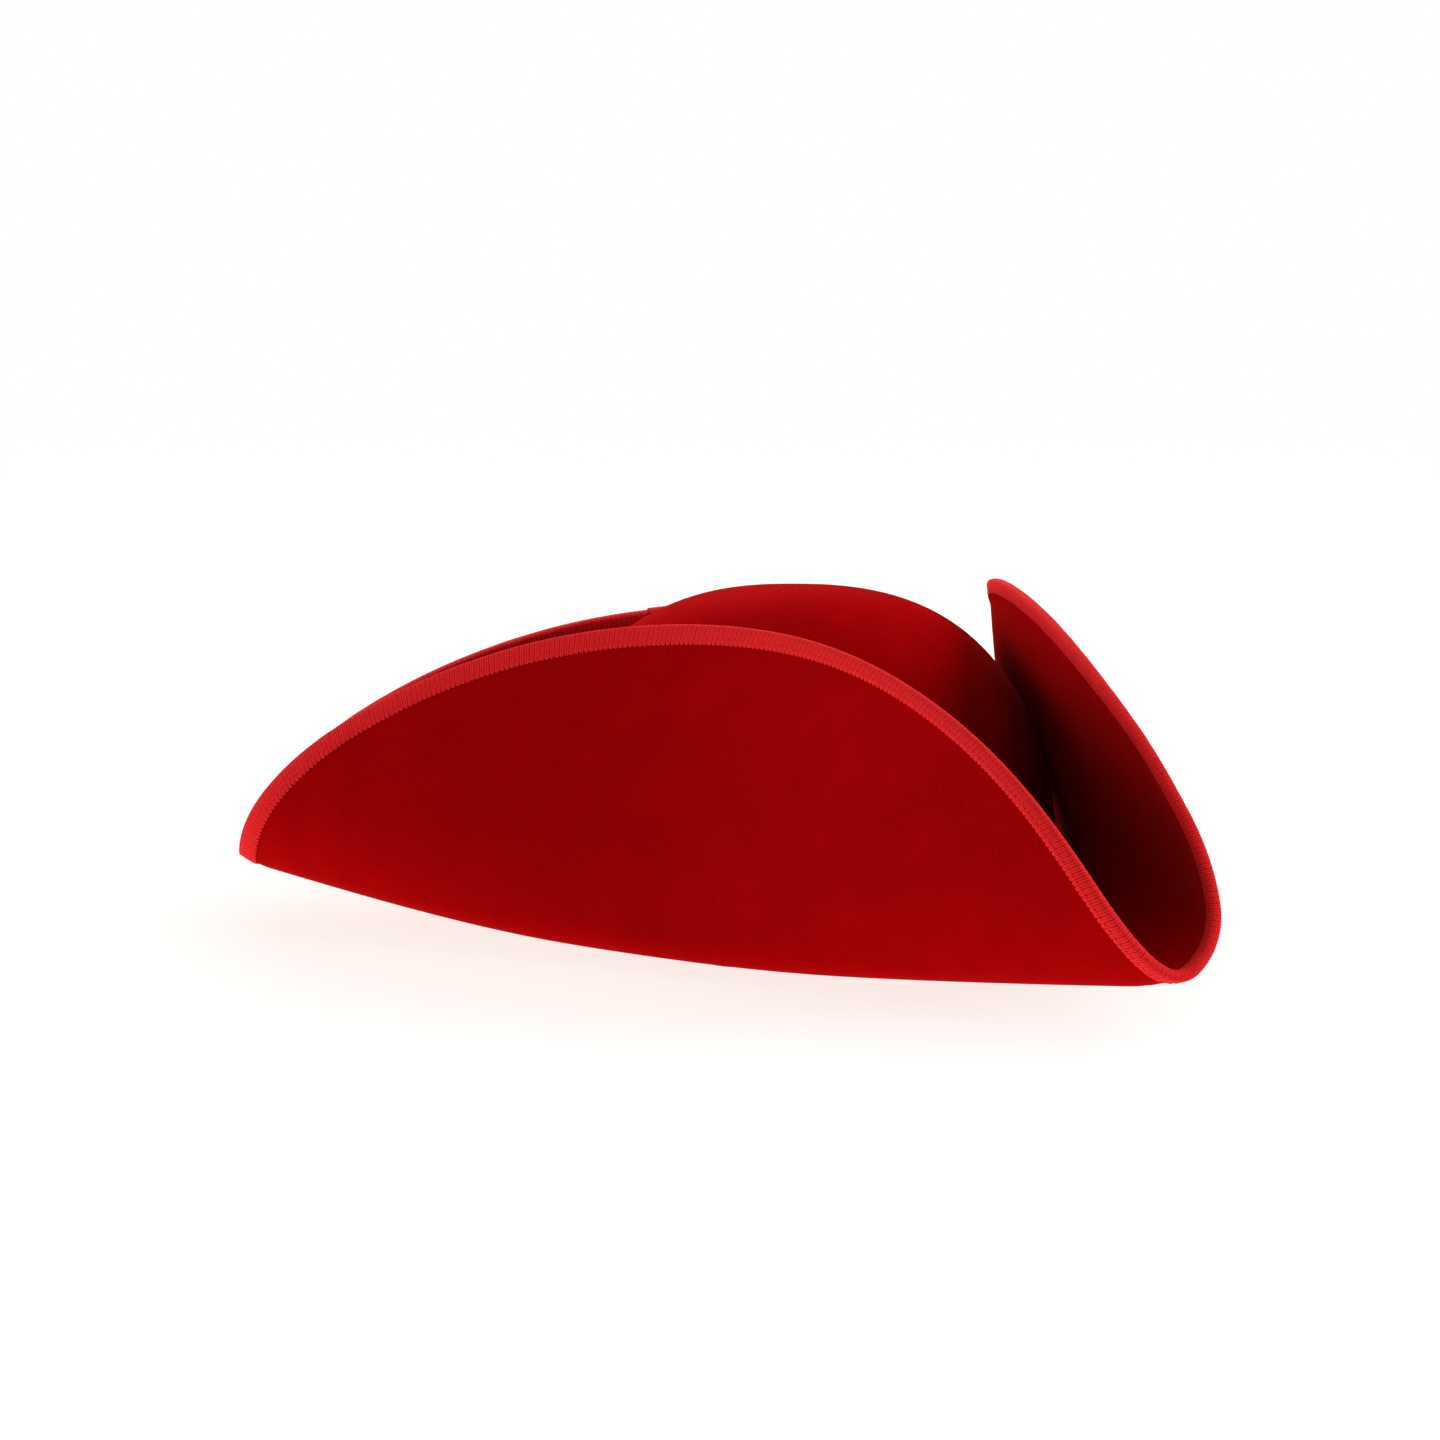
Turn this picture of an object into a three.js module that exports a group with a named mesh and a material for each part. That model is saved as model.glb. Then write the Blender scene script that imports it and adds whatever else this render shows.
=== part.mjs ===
import * as THREE from "three";

// Tricorn hat: blocked wool felt with a ribbon-bound edge, in millimetres, +Z up.
// The front corner points to -Y, the back flap stands at +Y, the wearer's left is +X.
// The origin lies on the surface that the hat rests on, under the middle of its box.
// Angles are in degrees, counted from +X towards +Y.

// Felt: one sheet, given by its middle surface.
const FELT_THICKNESS = 2.4;
const HEAD_HALF_LENGTH = 97.5;
const HEAD_HALF_WIDTH = 83;
const CROWN_HEIGHT = 120.3;
const CROWN_GIRTH_POWER = 2.5; // above 2 the dome's side stays full on its way up
const CROWN_RISE_POWER = 2.56; // above 2 the dome's wall starts steep
const BREAK_RADIUS = 4; // the turn from the crown's wall to the brim
const BRIM_RADIUS = 219.1; // the round brim before it is folded up
const BRIM_SET_BACK = 10.3; // its centre lies this far behind the head opening's

// Each flap turns up along a straight line, so far from the middle of the head. Its
// middle, where the lean is strongest, lies so far towards +X seen from the front,
// and that lean fades over so much to either side.
const FLAPS = {
  back: { facing: 92.9, fold: 98, middle: -9.4, spread: 153.5, lean: "back", ends: "backEnds" },
  right: { facing: 210, fold: 97.1, middle: 0, spread: 109.1, lean: "side", ends: "sideEnds" },
  left: { facing: 330, fold: 95.8, middle: 0, spread: 109.1, lean: "side", ends: "sideEnds" },
};

// Lean of the felt against the level brim, by the run past the fold line.
const LEAN = [
  { run: 0, back: 0, backEnds: 0, side: 0, sideEnds: 0 },
  { run: 12, back: 86.9, backEnds: 0.4, side: 93.8, sideEnds: 42.6 },
  { run: 40, back: 108.8, backEnds: 84.7, side: 113.2, sideEnds: 94.3 },
  { run: 65, back: 106.8, backEnds: 110.4, side: 116.9, sideEnds: 112.7 },
  { run: 90, back: 118.8, backEnds: 103.7, side: 111.5, sideEnds: 112.6 },
  { run: 112, back: 97.8, backEnds: 103.7, side: 105.7, sideEnds: 112.6 },
];
const FOLD_STEPS = 24;

// The brim rises towards two corners and sinks a little towards the third.
const CORNERS = {
  front: { facing: 270, lift: 17.3 },
  backLeft: { facing: 30, lift: 14.1 },
  backRight: { facing: 150, lift: -4.2 },
};
const CORNER_SPREAD = 43.3;
const CORNER_START = 85; // distance from the middle where the rise begins
const CORNER_POWER = 1.21;

// Ribbon folded over the brim's edge, and its lapped end on the right flap.
const RIBBON_WIDTH = 6.3;
const RIBBON_THICKNESS = 0.6;
const GAP = 0.3;
const NOSE_FLAT = 0.6; // share of the fold's thickness that is flat at the very edge
const LAP_START = 214.9; // facing before the columns are crowded; it ends one column on

// Sweatband: stands inside the head opening, up to the crown's first row of facets,
// and carries the hat on its lower edge.
const BAND_THICKNESS = 1.2;
const BAND_DROP = 5.5; // how far it hangs below the brim's middle surface
const BAND_FRONT_RISE = 5; // its edge climbs by this at the front
const BAND_FLAT_HALF_ANGLE = 105; // it lies flat this far either side of the back
const BAND_CLIMB_ANGLE = 23;

// Facets
const COLUMNS = 90;
const CORNER_CROWDING = 0.45; // columns stand closer together at the corners
const CROWN_ROWS = 9;
const BREAK_ROWS = 2;
const LEVEL_ROWS = 3; // from the break to the fold
const LEAST_LEVEL = 2; // these rows take up at least this much
const LEAST_COSINE = 0.01; // keeps flaps that face away from the reckoning
const FLAP_ROWS = [0.03, 0.06, 0.095, 0.14, 0.22, 0.35, 0.5, 0.66, 0.83, 1]; // fold to ribbon

const NUDGE = 1e-3; // step for the sheet's directions

const rad = THREE.MathUtils.degToRad;
const clamp = THREE.MathUtils.clamp;
const lerp = THREE.MathUtils.lerp;

// Distance from the middle of the head to its oval, and to the rim of the flat brim.
function headReach(turn) {
  return 1 / Math.hypot(Math.sin(turn) / HEAD_HALF_LENGTH, Math.cos(turn) / HEAD_HALF_WIDTH);
}

function brimReach(turn) {
  const along = BRIM_SET_BACK * Math.sin(turn);
  const across = BRIM_SET_BACK * Math.cos(turn);
  return along + Math.sqrt(BRIM_RADIUS ** 2 - across ** 2);
}

function brimLength(turn) {
  return brimReach(turn) - headReach(turn) - BREAK_RADIUS;
}

function angleBetween(a, b) {
  return Math.atan2(Math.sin(a - b), Math.cos(a - b));
}

// The sheet before folding. along runs 0 to 1 down the crown, 1 to 2 round the break
// and 2 to 3 out over the brim.
function flatPoint(turn, along) {
  const head = headReach(turn);
  let reach, height;
  if (along <= 1) {
    const arc = (along * Math.PI) / 2;
    reach = head * Math.sin(arc) ** (2 / CROWN_GIRTH_POWER);
    height = BREAK_RADIUS + (CROWN_HEIGHT - BREAK_RADIUS) * Math.cos(arc) ** (2 / CROWN_RISE_POWER);
  } else if (along <= 2) {
    const arc = ((along - 1) * Math.PI) / 2;
    reach = head + BREAK_RADIUS * (1 - Math.cos(arc));
    height = BREAK_RADIUS * (1 - Math.sin(arc));
  } else {
    reach = head + BREAK_RADIUS + brimLength(turn) * (along - 2);
    height = 0;
  }
  return new THREE.Vector3(reach * Math.cos(turn), reach * Math.sin(turn), height);
}

function leanAt(run, flap, weight) {
  let next = LEAN.findIndex((row) => row.run > run);
  if (next < 0) next = LEAN.length;
  const low = LEAN[next - 1];
  const high = LEAN[Math.min(next, LEAN.length - 1)];
  const share = high === low ? 0 : (run - low.run) / (high.run - low.run);
  const middle = lerp(low[flap.lean], high[flap.lean], share);
  const ends = lerp(low[flap.ends], high[flap.ends], share);
  return rad(lerp(ends, middle, weight));
}

// How far the felt moves in and up when it follows the lean for this run past the fold.
function foldMove(run, flap, weight) {
  const step = run / FOLD_STEPS;
  let out = 0;
  let up = 0;
  for (let i = 0; i < FOLD_STEPS; i++) {
    const lean = leanAt((i + 0.5) * step, flap, weight);
    out += Math.cos(lean) * step;
    up += Math.sin(lean) * step;
  }
  return { inward: run - out, up };
}

function foldedPoint(turn, along) {
  const flat = flatPoint(turn, along);
  const point = flat.clone();
  for (const flap of Object.values(FLAPS)) {
    const facing = new THREE.Vector3(Math.cos(rad(flap.facing)), Math.sin(rad(flap.facing)), 0);
    const run = flat.dot(facing) - flap.fold;
    if (run <= 0) continue;
    const aside = flat.x * facing.y - flat.y * facing.x;
    const weight = Math.exp(-(((aside - flap.middle) / flap.spread) ** 2));
    const move = foldMove(run, flap, weight);
    point.addScaledVector(facing, -move.inward);
    point.z += move.up;
  }
  const reach = Math.hypot(flat.x, flat.y);
  const outness = clamp((reach - CORNER_START) / (BRIM_RADIUS - CORNER_START), 0, 1);
  for (const corner of Object.values(CORNERS)) {
    const off = angleBetween(turn, rad(corner.facing));
    point.z += corner.lift * Math.exp(-((off / rad(CORNER_SPREAD)) ** 2)) * outness ** CORNER_POWER;
  }
  return point;
}

// A point of the sheet with its upward normal and the direction that runs off the rim.
function sheet(turn, along) {
  const ahead = Math.min(along + NUDGE, 3);
  const back = Math.max(along - NUDGE, 0);
  const radial = foldedPoint(turn, ahead).sub(foldedPoint(turn, back));
  const round = foldedPoint(turn + NUDGE, along).sub(foldedPoint(turn - NUDGE, along));
  const normal = radial.clone().cross(round).normalize();
  const outward = round.clone().cross(normal).normalize();
  return { point: foldedPoint(turn, along), normal, outward };
}

// Joins rings of points into one closed surface. It ends in a point at each end (tips),
// in a strip across a folded section (strip), or runs round to its start (loop).
// Each quad is split along its shorter diagonal, so that nested surfaces split alike.
function closedSurface(rings, ends) {
  const count = rings[0].length;
  const points = rings.flat();
  const faces = [];
  const at = (ring, i) => (ring % rings.length) * count + (i % count);
  const last = ends.loop ? rings.length : rings.length - 1;
  for (let r = 0; r < last; r++) {
    for (let i = 0; i < count; i++) {
      const [a, b, c, d] = [at(r, i), at(r + 1, i), at(r + 1, i + 1), at(r, i + 1)];
      const shorterOne = points[a].distanceTo(points[c]) < points[b].distanceTo(points[d]);
      if (shorterOne) faces.push([a, b, c], [a, c, d]);
      else faces.push([a, b, d], [b, c, d]);
    }
  }
  if (ends.tips) {
    const first = points.push(ends.tips[0]) - 1;
    const final = points.push(ends.tips[1]) - 1;
    for (let i = 0; i < count; i++) {
      faces.push([first, at(0, i), at(0, i + 1)]);
      faces.push([final, at(rings.length - 1, i + 1), at(rings.length - 1, i)]);
    }
  }
  if (ends.strip) {
    const far = rings.length - 1;
    for (let i = 0; i < count / 2 - 1; i++) {
      const j = count - 1 - i;
      faces.push([at(0, i), at(0, i + 1), at(0, j - 1)], [at(0, i), at(0, j - 1), at(0, j)]);
      faces.push([at(far, i), at(far, j - 1), at(far, i + 1)], [at(far, i), at(far, j), at(far, j - 1)]);
    }
  }
  const volume = faces.reduce(
    (sum, [a, b, c]) => sum + points[a].dot(points[b].clone().cross(points[c])),
    0,
  );
  if (volume < 0) faces.forEach((face) => face.reverse());
  const geometry = new THREE.BufferGeometry().setFromPoints(points);
  geometry.setIndex(faces.flat());
  geometry.computeVertexNormals();
  return geometry;
}

function namedMesh(name, geometry, color, roughness) {
  const material = new THREE.MeshStandardMaterial({ color, roughness, metalness: 0 });
  const mesh = new THREE.Mesh(geometry, material);
  mesh.name = name;
  return mesh;
}

// The columns start at the ribbon's lapped end.
const columnTurns = Array.from({ length: COLUMNS }, (_, i) => {
  const even = rad(LAP_START) + (2 * Math.PI * i) / COLUMNS;
  return even - (CORNER_CROWDING / 3) * Math.sin(3 * (even - rad(CORNERS.backLeft.facing)));
});

// The rows of the brim follow the fold lines. A place counts from 2, at the break, to 3,
// at the rim; each row gives the place for a column's turn.
function placeAt(turn, reach) {
  return 2 + (reach - headReach(turn) - BREAK_RADIUS) / brimLength(turn);
}

function foldReach(turn) {
  const crossings = Object.values(FLAPS).map((flap) => {
    return flap.fold / Math.max(Math.cos(turn - rad(flap.facing)), LEAST_COSINE);
  });
  return Math.max(Math.min(...crossings), headReach(turn) + BREAK_RADIUS + LEAST_LEVEL);
}

function ribbonPlace(turn) {
  return placeAt(turn, brimReach(turn) - RIBBON_WIDTH);
}

function brimRows() {
  const level = Array.from({ length: LEVEL_ROWS }, (_, i) => (turn) => {
    return lerp(2, placeAt(turn, foldReach(turn)), (i + 1) / LEVEL_ROWS);
  });
  const flap = FLAP_ROWS.map((share) => (turn) => {
    return lerp(placeAt(turn, foldReach(turn)), ribbonPlace(turn), share);
  });
  return [...level, ...flap, () => 3];
}

function feltBody() {
  const rows = [];
  for (let i = 1; i <= CROWN_ROWS; i++) rows.push(() => i / CROWN_ROWS);
  for (let i = 1; i <= BREAK_ROWS; i++) rows.push(() => 1 + i / BREAK_ROWS);
  rows.push(...brimRows());
  const half = FELT_THICKNESS / 2;
  const ring = (row, side) =>
    columnTurns.map((turn) => {
      const { point, normal } = sheet(turn, row(turn));
      return point.addScaledVector(normal, side * half);
    });
  const upper = rows.map((row) => ring(row, 1));
  const lower = rows.map((row) => ring(row, -1)).reverse();
  const tips = [1, -1].map((side) => new THREE.Vector3(0, 0, CROWN_HEIGHT + side * half));
  return closedSurface([...upper, ...lower], { tips });
}

// A folded strip across the rim at one place: down its outer side, back up its inner side.
// The inside of its nose clears the felt's square edge or the layer below.
function ribbonSection(turn, clearance) {
  const edge = sheet(turn, 3);
  const inner = sheet(turn, ribbonPlace(turn));
  const from = (spot, rise, out) =>
    spot.point.clone().addScaledVector(spot.normal, rise).addScaledVector(spot.outward, out);
  const near = FELT_THICKNESS / 2 + clearance;
  const far = near + RIBBON_THICKNESS;
  const nose = clearance + RIBBON_THICKNESS;
  const shoulder = Math.max(near * NOSE_FLAT, FELT_THICKNESS / 2 + GAP);
  return [
    from(inner, far, 0),
    from(edge, far, 0),
    from(edge, far * NOSE_FLAT, nose),
    from(edge, -far * NOSE_FLAT, nose),
    from(edge, -far, 0),
    from(inner, -far, 0),
    from(inner, -near, 0),
    from(edge, -near, 0),
    from(edge, -shoulder, clearance),
    from(edge, shoulder, clearance),
    from(edge, near, 0),
    from(inner, near, 0),
  ];
}

function edgeBinding() {
  return closedSurface(columnTurns.map((turn) => ribbonSection(turn, GAP)), { loop: true });
}

function bindingJoin() {
  const turns = [columnTurns.at(-1), columnTurns[0]];
  const clearance = 2 * GAP + RIBBON_THICKNESS;
  return closedSurface(turns.map((turn) => ribbonSection(turn, clearance)), { strip: true });
}

function sweatband() {
  const outside = FELT_THICKNESS / 2 + GAP;
  const inside = outside + BAND_THICKNESS;
  const section = (turn) => {
    const off = Math.abs(angleBetween(turn, rad(FLAPS.back.facing)));
    const flatTo = rad(BAND_FLAT_HALF_ANGLE);
    const climb = THREE.MathUtils.smoothstep(off, flatTo, flatTo + rad(BAND_CLIMB_ANGLE));
    const top = flatPoint(turn, 1 - 1 / CROWN_ROWS);
    const waist = flatPoint(turn, 1);
    const foot = waist.clone().setZ(BAND_FRONT_RISE * climb - BAND_DROP);
    const towardsMiddle = new THREE.Vector3(-Math.cos(turn), -Math.sin(turn), 0);
    const shifted = (depth) => (point) => point.clone().addScaledVector(towardsMiddle, depth);
    return [...[foot, waist, top].map(shifted(outside)), ...[top, waist, foot].map(shifted(inside))];
  };
  const turns = columnTurns.filter((_, i) => i % 2 === 0);
  return closedSurface(turns.map(section), { loop: true });
}

const RED_FELT = 0x9a0608;
const RED_RIBBON = 0xb81a1c;
const BLACK_BAND = 0x161314;

const hat = new THREE.Group();
hat.add(
  namedMesh("felt_body", feltBody(), RED_FELT, 0.95),
  namedMesh("edge_binding", edgeBinding(), RED_RIBBON, 0.8),
  namedMesh("binding_join", bindingJoin(), RED_RIBBON, 0.8),
  namedMesh("sweatband", sweatband(), BLACK_BAND, 0.55),
);

// The box's foot goes to the origin.
const box = new THREE.Box3().setFromObject(hat, true);
const middle = box.getCenter(new THREE.Vector3());
hat.position.set(-middle.x, -middle.y, -box.min.z);

export default hat;
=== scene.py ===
import math

import bpy
import numpy as np
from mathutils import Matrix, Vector


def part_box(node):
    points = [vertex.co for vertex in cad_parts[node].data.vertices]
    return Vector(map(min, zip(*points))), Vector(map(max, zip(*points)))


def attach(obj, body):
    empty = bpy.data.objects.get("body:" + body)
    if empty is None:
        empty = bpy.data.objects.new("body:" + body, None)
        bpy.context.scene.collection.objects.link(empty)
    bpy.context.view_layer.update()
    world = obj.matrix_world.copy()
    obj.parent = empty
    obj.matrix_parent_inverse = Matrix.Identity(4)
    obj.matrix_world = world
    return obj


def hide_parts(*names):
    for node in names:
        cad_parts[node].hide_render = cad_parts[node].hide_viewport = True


# A red felt tricorn: the felt, the ribbon round its edge and the black band inside it.
# Metres, +Z up. The front corner points to -Y and the wearer's left is +X.
# Turns are angles about the head's axis, from +X towards +Y.

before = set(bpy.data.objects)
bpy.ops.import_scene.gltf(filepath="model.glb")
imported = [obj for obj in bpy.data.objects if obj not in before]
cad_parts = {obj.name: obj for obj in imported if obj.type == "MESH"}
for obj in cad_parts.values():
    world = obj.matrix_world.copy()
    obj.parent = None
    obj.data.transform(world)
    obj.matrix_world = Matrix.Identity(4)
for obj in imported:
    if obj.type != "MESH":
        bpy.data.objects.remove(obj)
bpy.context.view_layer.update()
bpy.ops.object.select_all(action="DESELECT")

MM = 0.001
rad = math.radians

# The felt's middle surface
FELT_THICKNESS = 2.4 * MM
HEAD_HALF_LENGTH = 97.5 * MM
HEAD_HALF_WIDTH = 83 * MM
CROWN_HEIGHT = 120.3 * MM
CROWN_GIRTH_POWER = 2.5
CROWN_RISE_POWER = 2.56
BREAK_RADIUS = 4 * MM
BRIM_RADIUS = 219.1 * MM
BRIM_SET_BACK = 10.3 * MM
BRIM_LEVEL = 5.5 * MM  # height of the level brim above the floor

# Each flap turns up along a straight line, so far from the head's axis. Its middle lies
# so far aside, and the middle's lean fades over so much to either side.
FLAPS = [
    {"facing": rad(92.9), "fold": 98 * MM, "middle": -9.4 * MM, "spread": 153.5 * MM, "name": "back"},
    {"facing": rad(210), "fold": 97.1 * MM, "middle": 0, "spread": 109.1 * MM, "name": "side"},
    {"facing": rad(330), "fold": 95.8 * MM, "middle": 0, "spread": 109.1 * MM, "name": "side"},
]

# Lean in degrees by the run past the fold line
LEAN = {
    "run": np.array([0, 12, 40, 65, 90, 112]) * MM,
    "back": np.array([0, 86.9, 108.8, 106.8, 118.8, 97.8]),
    "back_ends": np.array([0, 0.4, 84.7, 110.4, 103.7, 103.7]),
    "side": np.array([0, 93.8, 113.2, 116.9, 111.5, 105.7]),
    "side_ends": np.array([0, 42.6, 94.3, 112.7, 112.6, 112.6]),
}
FOLD_STEPS = 24

# The back flap's far half bends a little further in, round the crown. Its middle lies so far
# aside and so far past the fold, and the bend fades over the half sizes.
SWELL = {
    "aside": -50 * MM,
    "run": 81 * MM,
    "half_width": 28 * MM,
    "half_height": 21 * MM,
    "amount": 6 * MM,
}

CORNERS = [
    {"facing": rad(270), "lift": 17.3 * MM},
    {"facing": rad(30), "lift": 14.1 * MM},
    {"facing": rad(150), "lift": -4.2 * MM},
]
CORNER_SPREAD = rad(43.3)
CORNER_START = 85 * MM
CORNER_POWER = 1.21

# Ribbon and band
RIBBON_WIDTH = 6.3 * MM
RIBBON_BACK_SHARE = 0.7  # the ribbon shows narrower round the back flap
RIBBON_WIDE_AT, RIBBON_NARROW_AT = -0.6, -0.05  # sines of the turn between which it narrows
LAP_FROM, LAP_TO = rad(211.3), rad(217.1)
BAND_TOP = 1 - 1 / 9  # its upper edge, as a share of the way down the crown
BAND_OUTSIDE = 1.5 * MM  # from the felt's middle surface
BAND_THICKNESS = 1.2 * MM
BAND_DROP = 5.5 * MM
BAND_FRONT_RISE = 5 * MM
BAND_FLAT_HALF_ANGLE = rad(105)
BAND_CLIMB_ANGLE = rad(23)

BRIM_RIPPLE = 0.16 * MM
CROWN_RIPPLE = 0.3 * MM
NUDGE = 1e-3
LEAST_LEVEL = 2 * MM
LEAST_COSINE = 0.01
CORNER_CROWDING = 0.45

# The head's axis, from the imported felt's highest point near the middle of the band
band_low, band_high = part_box("sweatband")
band_middle = (band_low + band_high) / 2
felt_points = [v.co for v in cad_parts["felt_body"].data.vertices]
crown_points = [co for co in felt_points if (co.xy - band_middle.xy).length < 10 * MM]
apex = max(crown_points, key=lambda co: co.z)
HEAD_AXIS = np.array([apex.x, apex.y, BRIM_LEVEL])


def lerp(low, high, share):
    return low + (high - low) * share


def smoothstep(value, low, high):
    share = np.clip((value - low) / (high - low), 0, 1)
    return share * share * (3 - 2 * share)


def angle_between(a, b):
    return np.arctan2(np.sin(a - b), np.cos(a - b))


def head_reach(turn):
    return 1 / np.hypot(np.sin(turn) / HEAD_HALF_LENGTH, np.cos(turn) / HEAD_HALF_WIDTH)


def brim_reach(turn):
    across = BRIM_SET_BACK * np.cos(turn)
    return BRIM_SET_BACK * np.sin(turn) + np.sqrt(BRIM_RADIUS**2 - across**2)


def brim_length(turn):
    return brim_reach(turn) - head_reach(turn) - BREAK_RADIUS


def flat_point(turn, along):
    """The sheet before folding. along runs 0 to 1 down the crown, to 2 round the break, to 3 at the rim."""
    head = head_reach(turn)
    crown_arc = np.clip(along, 0, 1) * math.pi / 2
    break_arc = np.clip(along - 1, 0, 1) * math.pi / 2
    brim = np.maximum(along - 2, 0)
    reach = head * np.sin(crown_arc) ** (2 / CROWN_GIRTH_POWER)
    reach = reach + BREAK_RADIUS * (1 - np.cos(break_arc)) + brim_length(turn) * brim
    fall = np.maximum(np.cos(crown_arc), 0) ** (2 / CROWN_RISE_POWER)
    height = (CROWN_HEIGHT - BREAK_RADIUS) * fall + BREAK_RADIUS * (1 - np.sin(break_arc))
    return np.stack([reach * np.cos(turn), reach * np.sin(turn), height], axis=-1)


def fold_move(run, name, weight):
    """How far in and up the felt moves when it follows the lean for this run past the fold."""
    out = np.zeros_like(run)
    up = np.zeros_like(run)
    for step in range(FOLD_STEPS):
        here = (step + 0.5) / FOLD_STEPS * run
        middle = np.interp(here, LEAN["run"], LEAN[name])
        ends = np.interp(here, LEAN["run"], LEAN[name + "_ends"])
        angle = np.radians(lerp(ends, middle, weight))
        out += np.cos(angle) * run / FOLD_STEPS
        up += np.sin(angle) * run / FOLD_STEPS
    return run - out, up


def folded_point(turn, along):
    flat = flat_point(turn, along)
    point = flat.copy()
    for flap in FLAPS:
        facing = np.array([math.cos(flap["facing"]), math.sin(flap["facing"]), 0])
        run = np.maximum(flat @ facing - flap["fold"], 0)
        aside = flat[..., 0] * facing[1] - flat[..., 1] * facing[0]
        weight = np.exp(-(((aside - flap["middle"]) / flap["spread"]) ** 2))
        inward, up = fold_move(run, flap["name"], weight)
        if flap["name"] == "back":
            across = (aside - SWELL["aside"]) / SWELL["half_width"]
            above = (run - SWELL["run"]) / SWELL["half_height"]
            inward = inward + SWELL["amount"] * np.exp(-(across**2) - above**2) * (run > 0)
        point -= inward[..., None] * facing
        point[..., 2] += up
    reach = np.hypot(flat[..., 0], flat[..., 1])
    outness = np.clip((reach - CORNER_START) / (BRIM_RADIUS - CORNER_START), 0, 1)
    for corner in CORNERS:
        off = angle_between(turn, corner["facing"]) / CORNER_SPREAD
        point[..., 2] += corner["lift"] * np.exp(-(off**2)) * outness**CORNER_POWER
    return point


def ripple(turn, along):
    """The slight unevenness of blocked felt."""
    brim = np.clip(along - 2, 0, 1)
    crown = np.sin(np.clip(along, 0, 1) * math.pi)
    waves = np.sin(5 * turn + 0.7) + 0.7 * np.sin(8 * turn + 2.1 + 2 * along) + 0.5 * np.sin(13 * turn + 4)
    dents = np.sin(3 * turn + 1.3 + 4 * along) * np.sin(7 * along + 0.4)
    return BRIM_RIPPLE * waves * brim + CROWN_RIPPLE * dents * crown


def on_sheet(turn, along, rise=0.0, out=0.0):
    """Points so far above the felt's middle surface and so far off towards its rim."""
    turn, along, rise, out = np.broadcast_arrays(turn, along, rise, out)
    ahead = folded_point(turn, np.minimum(along + NUDGE, 3))
    radial = ahead - folded_point(turn, np.maximum(along - NUDGE, 0))
    around = folded_point(turn + NUDGE, along) - folded_point(turn - NUDGE, along)
    normal = np.cross(radial, around)
    length = np.linalg.norm(normal, axis=-1, keepdims=True)
    normal = np.where(length > 0, normal / np.maximum(length, 1e-30), [0, 0, 1])
    outward = np.cross(around, normal)
    outward /= np.maximum(np.linalg.norm(outward, axis=-1, keepdims=True), 1e-30)
    lifted = (rise + ripple(turn, along))[..., None]
    return folded_point(turn, along) + normal * lifted + outward * out[..., None] + HEAD_AXIS


def place_at(turn, reach):
    """Where a distance from the axis lies on the brim, from 2 at the break to 3 at the rim."""
    return 2 + (reach - head_reach(turn) - BREAK_RADIUS) / brim_length(turn)


def fold_place(turn):
    crossings = [flap["fold"] / np.maximum(np.cos(turn - flap["facing"]), LEAST_COSINE) for flap in FLAPS]
    least = head_reach(turn) + BREAK_RADIUS + LEAST_LEVEL
    return place_at(turn, np.maximum(np.minimum.reduce(crossings), least))


def mapped_grid(name, across, down, place):
    """A grid primitive laid over a surface. place gives its points by column and by row number."""
    bpy.ops.mesh.primitive_grid_add(x_subdivisions=across, y_subdivisions=down, size=2)
    piece = bpy.context.object
    piece.name = piece.data.name = name
    flat = np.empty(len(piece.data.vertices) * 3)
    piece.data.vertices.foreach_get("co", flat)
    shares = (flat.reshape(-1, 3)[:, :2] + 1) / 2
    column = np.rint(shares[:, 0] * across).astype(int)
    row = np.rint(shares[:, 1] * down).astype(int)
    piece.data.vertices.foreach_set("co", place(column, row).ravel())
    close_up(piece)
    return piece


def close_up(piece):
    bpy.ops.object.mode_set(mode="EDIT")
    bpy.ops.mesh.select_all(action="SELECT")
    bpy.ops.mesh.remove_doubles(threshold=1e-6)
    bpy.ops.mesh.normals_make_consistent(inside=False)
    bpy.ops.object.mode_set(mode="OBJECT")
    bpy.ops.object.shade_smooth()
    bpy.ops.object.select_all(action="DESELECT")


# Felt

FELT_COLUMNS = 420
CROWN_ROWS, BREAK_ROWS, LEVEL_ROWS, FLAP_ROWS, HEM_ROWS = 40, 6, 8, 50, 3
FOLD_CROWDING = 1.35  # the flap's rows stand closer at the fold
RIM_ROUNDING = 0.5 * MM


def felt_rows():
    """Stretch and share of each row: crown 0 to 1, break to 2, level to 3, flap to 4, hem to 5."""
    flap = 3 + (np.arange(1, FLAP_ROWS + 1) / FLAP_ROWS) ** FOLD_CROWDING
    return np.concatenate([
        np.arange(CROWN_ROWS + 1) / CROWN_ROWS,
        1 + np.arange(1, BREAK_ROWS + 1) / BREAK_ROWS,
        2 + np.arange(1, LEVEL_ROWS + 1) / LEVEL_ROWS,
        flap,
        4 + np.arange(1, HEM_ROWS + 1) / HEM_ROWS,
    ])


def brim_along(turn, stretch):
    """Turns a row's stretch into the sheet's own measure, so that rows follow the fold lines."""
    fold = fold_place(turn)
    hem = place_at(turn, brim_reach(turn) - RIBBON_WIDTH)
    level = lerp(2, fold, np.clip(stretch - 2, 0, 1))
    flap = lerp(0, hem - fold, np.clip(stretch - 3, 0, 1))
    edge = lerp(0, 3 - hem, np.clip(stretch - 4, 0, 1))
    return np.where(stretch <= 2, stretch, level + flap + edge)


def felt_turn(column):
    even = 2 * math.pi * column / FELT_COLUMNS
    return even - CORNER_CROWDING / 3 * np.sin(3 * (even - CORNERS[1]["facing"]))


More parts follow.
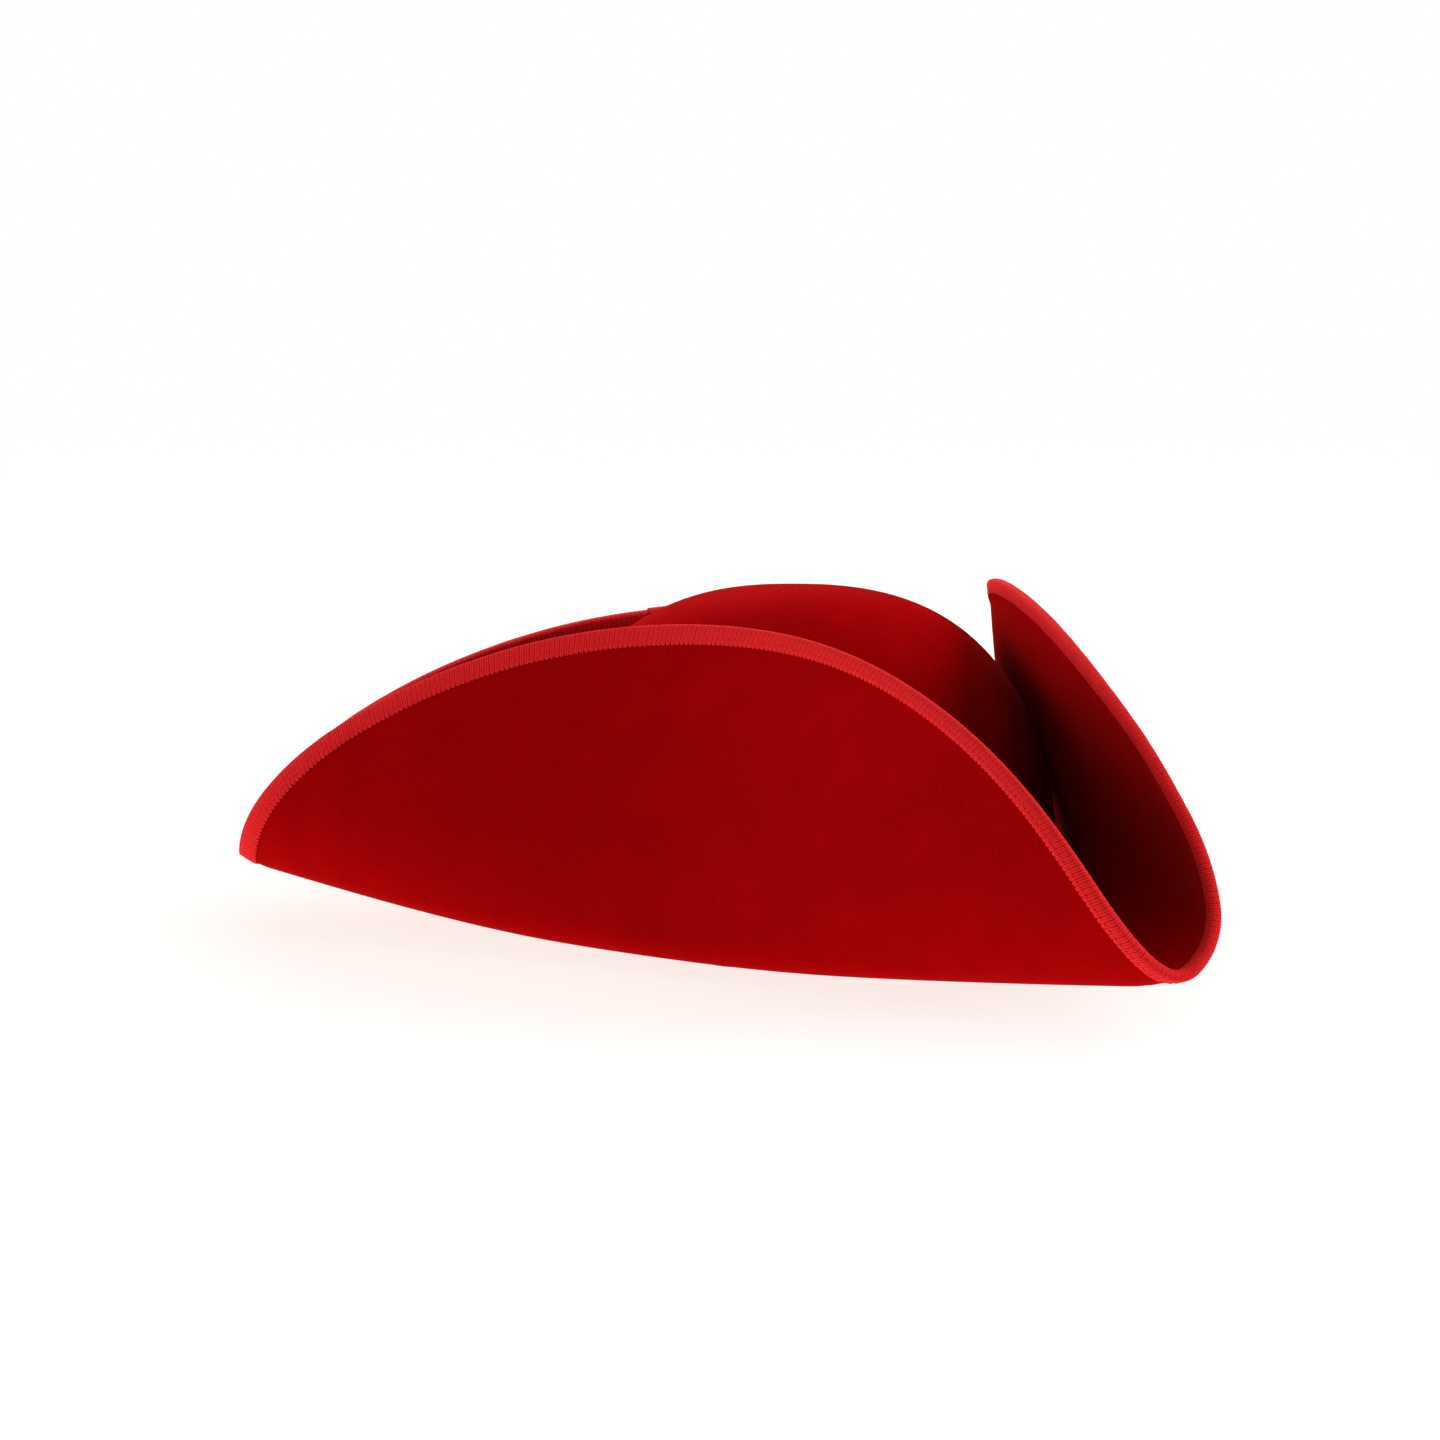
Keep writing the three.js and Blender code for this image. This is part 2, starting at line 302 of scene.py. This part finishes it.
def make_felt():
    down_crown = felt_rows()
    half = FELT_THICKNESS / 2
    stretch = np.concatenate([down_crown, [5], down_crown[::-1]])
    rise = np.concatenate([np.full(len(down_crown), half), [0], np.full(len(down_crown), -half)])
    out = np.zeros(len(stretch))
    out[len(down_crown)] = RIM_ROUNDING

    def place(column, row):
        turn = felt_turn(column)
        return on_sheet(turn, brim_along(turn, stretch[row]), rise[row], out[row])

    return mapped_grid("felt", FELT_COLUMNS, len(stretch) - 1, place)


# Ribbon

RIBS = 1400
RIB_COLUMNS = 4
PAIR_SHAPE = np.array([0.25, 0.75, 1, 0.75, 0.4, 0.75, 1, 0.75])  # two ribs joined by a loop
RIB_HEIGHT = 0.2 * MM
SCALLOP_DEPTH = 0.9 * MM
SCALLOP_MIDDLE = 0.6  # share of the depth that lies inside the ribbon's width
EDGE_INSET = 0.3 * MM  # rows nearer to the ribbon's edge than this follow its loops
NOSE_ROUNDING = 0.3 * MM
RIBBON_BELOW = FELT_THICKNESS / 2 + 0.06 * MM
RIBBON_THICKNESS = 0.42 * MM
RIB_SLANT = 0.9 * MM  # how far a rib leans along the ribbon between its rim and its edge
STITCH_INSET = 1.9 * MM
LAP_CLEARANCE = 0.1 * MM
LAP_RISE = RIBBON_THICKNESS + RIB_HEIGHT + LAP_CLEARANCE
LAP_SLOPE_COLUMNS = 10  # over these the hidden end sinks into the layer below

# The ribbon's section, from its inner edge over the rim to its outer edge and back beneath.
# inset: from the ribbon's own edge. nose: angle round the rim. lift: share of the thickness.
SECTION = [
    {"side": 1, "inset": 0.0, "lift": 0.45, "ribs": 0.3},
    {"side": 1, "inset": 0.5, "lift": 0.95, "ribs": 0.8},
    {"side": 1, "inset": 1.9, "lift": 0.9, "ribs": 0.95},
    {"side": 1, "inset": 3.6, "lift": 1.0, "ribs": 1.0},
    {"side": 1, "inset": 6.3, "lift": 1.0, "ribs": 1.0},
    {"nose": 48, "lift": 1.0, "ribs": 1.0},
    {"nose": 0, "lift": 1.0, "ribs": 1.0},
    {"nose": -48, "lift": 1.0, "ribs": 1.0},
    {"side": -1, "inset": 6.3, "lift": 1.0, "ribs": 1.0},
    {"side": -1, "inset": 3.6, "lift": 1.0, "ribs": 1.0},
    {"side": -1, "inset": 1.9, "lift": 0.9, "ribs": 0.95},
    {"side": -1, "inset": 0.5, "lift": 0.95, "ribs": 0.8},
    {"side": -1, "inset": 0.0, "lift": 0.45, "ribs": 0.3},
    {"side": -1, "inset": 0.0, "lift": 0.0, "ribs": 0.0},
    {"side": -1, "inset": 6.3, "lift": 0.0, "ribs": 0.0},
    {"side": 1, "inset": 6.3, "lift": 0.0, "ribs": 0.0},
    {"side": 1, "inset": 0.0, "lift": 0.0, "ribs": 0.0},
    {"side": 1, "inset": 0.0, "lift": 0.45, "ribs": 0.3},
]


def rim_turn(length_share):
    """Turn of a point that lies so far round the rim, measured on the round flat brim."""
    around = 2 * math.pi * length_share
    x = BRIM_RADIUS * np.cos(around)
    y = BRIM_SET_BACK + BRIM_RADIUS * np.sin(around)
    return np.arctan2(y, x)


def rib_at(turn):
    """Number of the pair of ribs at a turn, as an even rib number."""
    reach = brim_reach(turn)
    around = math.atan2(reach * math.sin(turn) - BRIM_SET_BACK, reach * math.cos(turn))
    return 2 * round((around / (2 * math.pi) % 1) * RIBS / 2)


def shown_share(turn):
    """Share of the ribbon's width that shows at a turn."""
    return lerp(1, RIBBON_BACK_SHARE, smoothstep(np.sin(turn), RIBBON_WIDE_AT, RIBBON_NARROW_AT))


def ribbon_points(rib_column, row, lap=0.0, body=1.0):
    """Points of the ribbon by rib column and section row. lap raises it, body thins it to nothing."""
    wanted = ("side", "inset", "lift", "ribs")
    keys = {key: np.array([r.get(key, 0) for r in SECTION], float) for key in wanted}
    on_nose = np.array(["nose" in r for r in SECTION])[row]
    nose = np.radians(np.array([r.get("nose", 0) for r in SECTION])[row])
    side, inset = keys["side"][row], keys["inset"][row] * MM
    slant = np.where(on_nose, 0, inset / RIBBON_WIDTH - 1) * RIB_SLANT / (2 * math.pi * BRIM_RADIUS)
    turn = rim_turn(rib_column / (RIBS * RIB_COLUMNS) + slant)
    pair = (rib_column % (2 * RIB_COLUMNS)) / (2 * RIB_COLUMNS)
    scallop = SCALLOP_DEPTH * (np.sqrt(np.sin(pair * math.pi)) - SCALLOP_MIDDLE)
    width = RIBBON_WIDTH + np.where(inset < EDGE_INSET, scallop, 0)
    from_rim = np.where(on_nose, 0, (width - inset) * shown_share(turn))
    ribs = keys["ribs"][row] * RIB_HEIGHT * PAIR_SHAPE[rib_column % len(PAIR_SHAPE)]
    over = (keys["lift"][row] * RIBBON_THICKNESS + ribs) * body + lap
    rise = np.where(on_nose, np.sin(nose), side) * (RIBBON_BELOW + over)
    out = np.where(on_nose, np.cos(nose) * (over + NOSE_ROUNDING), 0)
    return on_sheet(turn, place_at(turn, brim_reach(turn) - from_rim), rise, out)


def make_ribbon():
    def place(column, row):
        return ribbon_points(column % (RIBS * RIB_COLUMNS), row)

    return mapped_grid("edge_ribbon", RIBS * RIB_COLUMNS, len(SECTION) - 1, place)


def make_lapped_end():
    """The ribbon's end lies over its start. Its cut edge faces the front corner."""
    first = rib_at(LAP_FROM) * RIB_COLUMNS
    count = (rib_at(LAP_TO) - rib_at(LAP_FROM)) * RIB_COLUMNS

    def place(column, row):
        inside = np.clip(column - 1, 0, count)
        body = np.where((column == 0) | (column == count + 2), 0.0, 1.0)
        sunk = smoothstep(inside.astype(float), 0, LAP_SLOPE_COLUMNS)
        return ribbon_points(first + inside, row, LAP_RISE * sunk, body)

    return mapped_grid("ribbon_lapped_end", count + 2, len(SECTION) - 1, place)


# A running thread shows on the ribbon for most of each stitch and dives under it between.
STITCHES = 532
STITCH_RISE = np.array([-0.6, -0.05, 0.09, 0.12, 0.12, 0.09, -0.05, -0.6]) * MM
STITCH_BED = 0.9  # share of the ribbon's thickness under the thread
STITCH_RIB_SHARE = 0.6  # share of the ribs' height under the thread
THREAD_RADIUS = 0.13 * MM
THREAD_SIDES = 6


def make_stitching(name, side):
    per_stitch = len(STITCH_RISE)
    surface = RIBBON_BELOW + STITCH_BED * RIBBON_THICKNESS + STITCH_RIB_SHARE * RIB_HEIGHT

    def place(column, row):
        turn = rim_turn((column % (STITCHES * per_stitch)) / (STITCHES * per_stitch))
        around = 2 * math.pi * (row % THREAD_SIDES) / THREAD_SIDES
        height = surface + STITCH_RISE[column % per_stitch] + THREAD_RADIUS * np.sin(around)
        inset = (RIBBON_WIDTH - STITCH_INSET) * shown_share(turn) + THREAD_RADIUS * np.cos(around)
        return on_sheet(turn, place_at(turn, brim_reach(turn) - inset), side * height)

    return mapped_grid(name, STITCHES * per_stitch, THREAD_SIDES, place)


# Band inside the head opening

BAND_COLUMNS = 360
BAND_FOOT_ROWS = 5
BAND_WALL_ROWS = 14
BAND_LAP = 0.6 * MM  # the band's end lies over its start, at the back
BAND_LAP_HALF_ANGLE = rad(5)
BAND_LAP_EDGE = rad(0.6)


def make_band():
    wall = np.linspace(1, BAND_TOP, BAND_WALL_ROWS + 1)
    rows = [{"foot": share, "along": 1.0} for share in np.linspace(1, 0, BAND_FOOT_ROWS + 1)[:-1]]
    rows += [{"foot": 0.0, "along": along} for along in wall]
    foot = np.array([r["foot"] for r in rows])
    along = np.array([r["along"] for r in rows])
    half = BAND_THICKNESS / 2
    depth = np.concatenate([np.full(len(rows), -half), [0.0], np.full(len(rows), half), [0.0], [-half]])
    foot = np.concatenate([foot, [0.0], foot[::-1], [1.0], [1.0]])
    along = np.concatenate([along, [BAND_TOP], along[::-1], [1.0], [1.0]])
    roll = np.zeros(len(depth))
    roll[len(rows)] = half
    roll[2 * len(rows) + 1] = -half

    def place(column, row):
        turn = 2 * math.pi * (column % BAND_COLUMNS) / BAND_COLUMNS
        off_back = np.abs(angle_between(turn, rad(90)))
        climb = smoothstep(off_back, BAND_FLAT_HALF_ANGLE, BAND_FLAT_HALF_ANGLE + BAND_CLIMB_ANGLE)
        point = flat_point(turn, along[row])
        low = BAND_FRONT_RISE * climb - BAND_DROP + half
        point[..., 2] = lerp(point[..., 2], low, foot[row]) + roll[row]
        inward = np.stack([-np.cos(turn), -np.sin(turn), np.zeros_like(turn)], axis=-1)
        lap = 1 - smoothstep(off_back, BAND_LAP_HALF_ANGLE, BAND_LAP_HALF_ANGLE + BAND_LAP_EDGE)
        inset = BAND_OUTSIDE + half + depth[row] + BAND_LAP * lap * (depth[row] > 0)
        return point + inward * inset[..., None] + HEAD_AXIS

    return mapped_grid("head_band", BAND_COLUMNS, len(depth) - 1, place)


BAND_STITCHES = 190
BAND_STITCH_LIFT = 1.9 * MM  # above the band's foot


def make_band_stitching():
    per_stitch = len(STITCH_RISE)
    surface = BAND_OUTSIDE + BAND_THICKNESS

    def place(column, row):
        turn = 2 * math.pi * (column % (BAND_STITCHES * per_stitch)) / (BAND_STITCHES * per_stitch)
        off_back = np.abs(angle_between(turn, rad(90)))
        climb = smoothstep(off_back, BAND_FLAT_HALF_ANGLE, BAND_FLAT_HALF_ANGLE + BAND_CLIMB_ANGLE)
        lap = 1 - smoothstep(off_back, BAND_LAP_HALF_ANGLE, BAND_LAP_HALF_ANGLE + BAND_LAP_EDGE)
        around = 2 * math.pi * (row % THREAD_SIDES) / THREAD_SIDES
        point = flat_point(turn, np.ones_like(turn))
        low = BAND_FRONT_RISE * climb - BAND_DROP + BAND_STITCH_LIFT
        point[..., 2] = low + THREAD_RADIUS * np.sin(around)
        inset = surface + STITCH_RISE[column % per_stitch] + BAND_LAP * lap + THREAD_RADIUS * np.cos(around)
        inward = np.stack([-np.cos(turn), -np.sin(turn), np.zeros_like(turn)], axis=-1)
        return point + inward * inset[..., None] + HEAD_AXIS

    return mapped_grid("band_stitching", BAND_STITCHES * per_stitch, THREAD_SIDES, place)


# Finishes

class Finish:
    """One node material. Constants go on the shader's own sockets."""

    def __init__(self, name, **sockets):
        self.material = bpy.data.materials.new(name)
        self.material.use_nodes = True
        self.tree = self.material.node_tree
        self.shader = self.tree.nodes["Principled BSDF"]
        for socket, value in sockets.items():
            self.shader.inputs[socket.replace("_", " ")].default_value = value

    def node(self, kind, settings=None, **inputs):
        made = self.tree.nodes.new(kind)
        for key, value in (settings or {}).items():
            setattr(made, key, value)
        for key, value in inputs.items():
            socket = made.inputs[key.replace("_", " ")]
            if isinstance(value, bpy.types.NodeSocket):
                self.tree.links.new(value, socket)
            else:
                socket.default_value = value
        return made

    def noise(self, vector, scale, detail=3.0, roughness=0.6, ridged=False):
        settings = {"noise_type": "RIDGED_MULTIFRACTAL"} if ridged else {}
        return self.node("ShaderNodeTexNoise", settings, Vector=vector, Scale=scale, Detail=detail,
                         Roughness=roughness).outputs[0]

    def math(self, operation, first, second):
        made = self.node("ShaderNodeMath", {"operation": operation})
        for socket, value in zip(made.inputs, (first, second)):
            if isinstance(value, bpy.types.NodeSocket):
                self.tree.links.new(value, socket)
            else:
                socket.default_value = value
        return made.outputs[0]

    def ramp(self, share, *stops):
        made = self.node("ShaderNodeValToRGB")
        made.color_ramp.elements[0].position = stops[0][0]
        made.color_ramp.elements[0].color = (*stops[0][1], 1)
        made.color_ramp.elements[1].position = stops[-1][0]
        made.color_ramp.elements[1].color = (*stops[-1][1], 1)
        for position, colour in stops[1:-1]:
            made.color_ramp.elements.new(position).color = (*colour, 1)
        self.tree.links.new(share, made.inputs[0])
        return made.outputs[0]

    def colour(self, socket):
        self.tree.links.new(socket, self.shader.inputs["Base Color"])

    def bump(self, height, distance, strength=1.0):
        made = self.node("ShaderNodeBump", Height=height, Distance=distance, Strength=strength)
        self.tree.links.new(made.outputs[0], self.shader.inputs["Normal"])


def felt_finish():
    finish = Finish("red_wool_felt", Roughness=0.95, Sheen_Weight=0.22, Sheen_Roughness=0.35,
                    Sheen_Tint=(1.0, 0.06, 0.06, 1), Specular_IOR_Level=0.0)
    place = finish.node("ShaderNodeTexCoord").outputs["Object"]
    fibres = finish.noise(place, 1500, 3, 0.7, ridged=True)
    grain = finish.noise(place, 900, 4, 0.65)
    cloud = finish.noise(place, 60, 3, 0.55)
    mix = finish.math("ADD", finish.math("MULTIPLY", grain, 0.6), finish.math("MULTIPLY", cloud, 0.4))
    finish.colour(finish.ramp(mix, (0.3, (0.235, 0.0004, 0.0008)), (0.7, (0.32, 0.0008, 0.0013))))
    height = finish.math("ADD", grain, finish.math("MULTIPLY", fibres, 0.35))
    finish.bump(height, 0.25 * MM, 0.6)
    return finish.material


def ribbon_finish(name, ribs):
    finish = Finish(name, Roughness=0.75, Sheen_Weight=0.16, Sheen_Roughness=0.35,
                    Sheen_Tint=(1.0, 0.2, 0.22, 1), Specular_IOR_Level=0.04)
    along = finish.node("ShaderNodeTexCoord").outputs["UV"]
    split = finish.node("ShaderNodeSeparateXYZ", Vector=along)
    # Painted shade across the ribs: the colour darkens in bands at the grooves between ribs and between
    # pairs of ribs, and lightens as a painted highlight on the rib tops. Random thread tone is added to it.
    single = finish.math("COSINE", finish.math("MULTIPLY", split.outputs[0], 2 * math.pi * ribs), 0)
    paired = finish.math("COSINE", finish.math("MULTIPLY", split.outputs[0], math.pi * ribs), 0)
    painted_groove_shade = finish.math("ADD", finish.math("MULTIPLY", single, 0.3), finish.math("MULTIPLY", paired, 0.1))
    place = finish.node("ShaderNodeTexCoord").outputs["Object"]
    thread = finish.noise(place, 1600, 3, 0.6)
    shade = finish.math("ADD", finish.math("MULTIPLY", painted_groove_shade, -0.7), finish.math("MULTIPLY", thread, 0.6))
    finish.colour(finish.ramp(shade, (0.0, (0.42, 0.004, 0.006)), (0.55, (0.70, 0.016, 0.018))))
    finish.bump(thread, 0.12 * MM, 0.6)
    return finish.material


def thread_finish(name, colour):
    finish = Finish(name, Roughness=0.75, Specular_IOR_Level=0.02)
    place = finish.node("ShaderNodeTexCoord").outputs["Object"]
    twist = finish.noise(place, 2600, 2, 0.6)
    dark = tuple(0.75 * part for part in colour)
    finish.colour(finish.ramp(twist, (0.3, dark), (0.7, colour)))
    finish.bump(twist, 0.08 * MM, 0.5)
    return finish.material


def band_finish():
    finish = Finish("black_band", Roughness=0.55, Specular_IOR_Level=0.35)
    place = finish.node("ShaderNodeTexCoord").outputs["Object"]
    grain = finish.noise(place, 1400, 4, 0.6)
    finish.colour(finish.ramp(grain, (0.3, (0.006, 0.005, 0.0055)), (0.7, (0.012, 0.0105, 0.011))))
    finish.bump(grain, 0.15 * MM, 0.5)
    return finish.material


def floor_finish():
    """A pale table lit from within. Near the hat its glow is painted darker and pinker: a painted shadow
    with painted red bounce from the felt.
    """
    finish = Finish("pale_floor", Roughness=0.9, Specular_IOR_Level=0.0, Emission_Strength=1.0)
    finish.shader.inputs["Base Color"].default_value = (0.1, 0.1, 0.1, 1)
    place = finish.node("ShaderNodeTexCoord").outputs["Object"]
    distance = finish.node("ShaderNodeVectorMath", {"operation": "LENGTH"}, Vector=place).outputs["Value"]
    # Painted shadow: the glow turns darker and pinker within about 0.15 to 0.28 m of the middle, in place of
    # the hat's shadow and the felt's red bounce.
    glow = finish.ramp(distance, (0.15, (0.92, 0.825, 0.79)), (0.28, (1, 1, 1)))
    finish.tree.links.new(glow, finish.shader.inputs["Emission Color"])
    return finish.material


def dress(piece, material, slot_name, *nodes):
    piece.data.materials.clear()
    piece.data.materials.append(material)
    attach(piece, "root")
    if nodes:
        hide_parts(*nodes)


# Stage

def make_floor():
    bpy.ops.mesh.primitive_plane_add(size=12, location=(0, 0, 0))
    floor = bpy.context.object
    floor.name = "floor"
    floor.data.materials.append(floor_finish())


def make_light(row):
    data = bpy.data.lights.new(row["name"], "AREA")
    data.shape = "RECTANGLE"
    data.size, data.size_y = row["size"]
    data.energy = row["watts"]
    light = bpy.data.objects.new(row["name"], data)
    light.location = row["at"]
    light.rotation_mode = "QUATERNION"
    aim = Vector(row["aim"]) - Vector(row["at"])
    light.rotation_quaternion = aim.to_track_quat("-Z", "Y")
    bpy.context.collection.objects.link(light)
    return light


# Softboxes, in watts and metres. The glow lies on the floor, faces up and is hidden from the camera.
LIGHTS = [
    {"name": "right_softbox", "size": (1.2, 1.2), "watts": 33, "at": (0, 1.4, 1.2), "aim": (0, 0, 0.05)},
    {"name": "left_softbox", "size": (1.4, 0.8), "watts": 28, "at": (-0.3, -1.5, 0.55), "aim": (0, 0, 0.08)},
    {"name": "top_softbox", "size": (1.5, 1.5), "watts": 12, "at": (0, -0.1, 1.9), "aim": (0, 0, 0)},
    {"name": "back_softbox", "size": (1.2, 1.2), "watts": 17, "at": (-1.3, -0.2, 1.3), "aim": (0, 0, 0.05)},
    {"name": "table_glow", "size": (3.0, 3.0), "watts": 17, "at": (0, 0, 0.0005), "aim": (0, 0, 1)},
]


def make_studio():
    """A white room: the world shows white to the camera and lights nothing."""
    make_floor()
    world = bpy.data.worlds.new("studio")
    world.use_nodes = True
    tree = world.node_tree
    background = tree.nodes["Background"]
    background.inputs["Color"].default_value = (1, 1, 1, 1)
    ray = tree.nodes.new("ShaderNodeLightPath")
    tree.links.new(ray.outputs["Is Camera Ray"], background.inputs["Strength"])
    bpy.context.scene.world = world
    for row in LIGHTS:
        light = make_light(row)
        light.visible_camera = row["name"] != "table_glow"


CAMERA_AZIMUTH = rad(92.44)
CAMERA_ELEVATION = rad(7.58)
CAMERA_DISTANCE = 1.032
CAMERA_LENS = 69.14
CAMERA_AIM = (1.18 * MM, -27.66 * MM, 71.05 * MM)  # from the head's axis, at the brim's level


def make_camera():
    data = bpy.data.cameras.new("camera")
    data.lens = CAMERA_LENS
    data.sensor_width = 36
    camera = bpy.data.objects.new("camera", data)
    level = math.cos(CAMERA_ELEVATION)
    back = Vector((math.sin(CAMERA_AZIMUTH) * level, -math.cos(CAMERA_AZIMUTH) * level,
                   math.sin(CAMERA_ELEVATION)))
    camera.location = Vector(HEAD_AXIS) + Vector(CAMERA_AIM) + back * CAMERA_DISTANCE
    camera.rotation_mode = "QUATERNION"
    camera.rotation_quaternion = (-back).to_track_quat("-Z", "Y")
    bpy.context.collection.objects.link(camera)
    bpy.context.scene.camera = camera
    bpy.context.scene.view_settings.view_transform = "Standard"


make_camera()
make_studio()
felt = felt_finish()
red_thread = thread_finish("red_thread", (0.7, 0.016, 0.018))
black_thread = thread_finish("black_thread", (0.014, 0.012, 0.013))
lap_ribs = rib_at(LAP_TO) - rib_at(LAP_FROM)
dress(make_felt(), felt, "felt", "felt_body")
dress(make_ribbon(), ribbon_finish("red_grosgrain", RIBS), "ribbon", "edge_binding")
dress(make_lapped_end(), ribbon_finish("red_grosgrain_end", lap_ribs), "ribbon", "binding_join")
dress(make_stitching("outer_stitching", -1), red_thread, "ribbon")
dress(make_stitching("inner_stitching", 1), red_thread, "ribbon")
dress(make_band(), band_finish(), "band", "sweatband")
dress(make_band_stitching(), black_thread, "band")
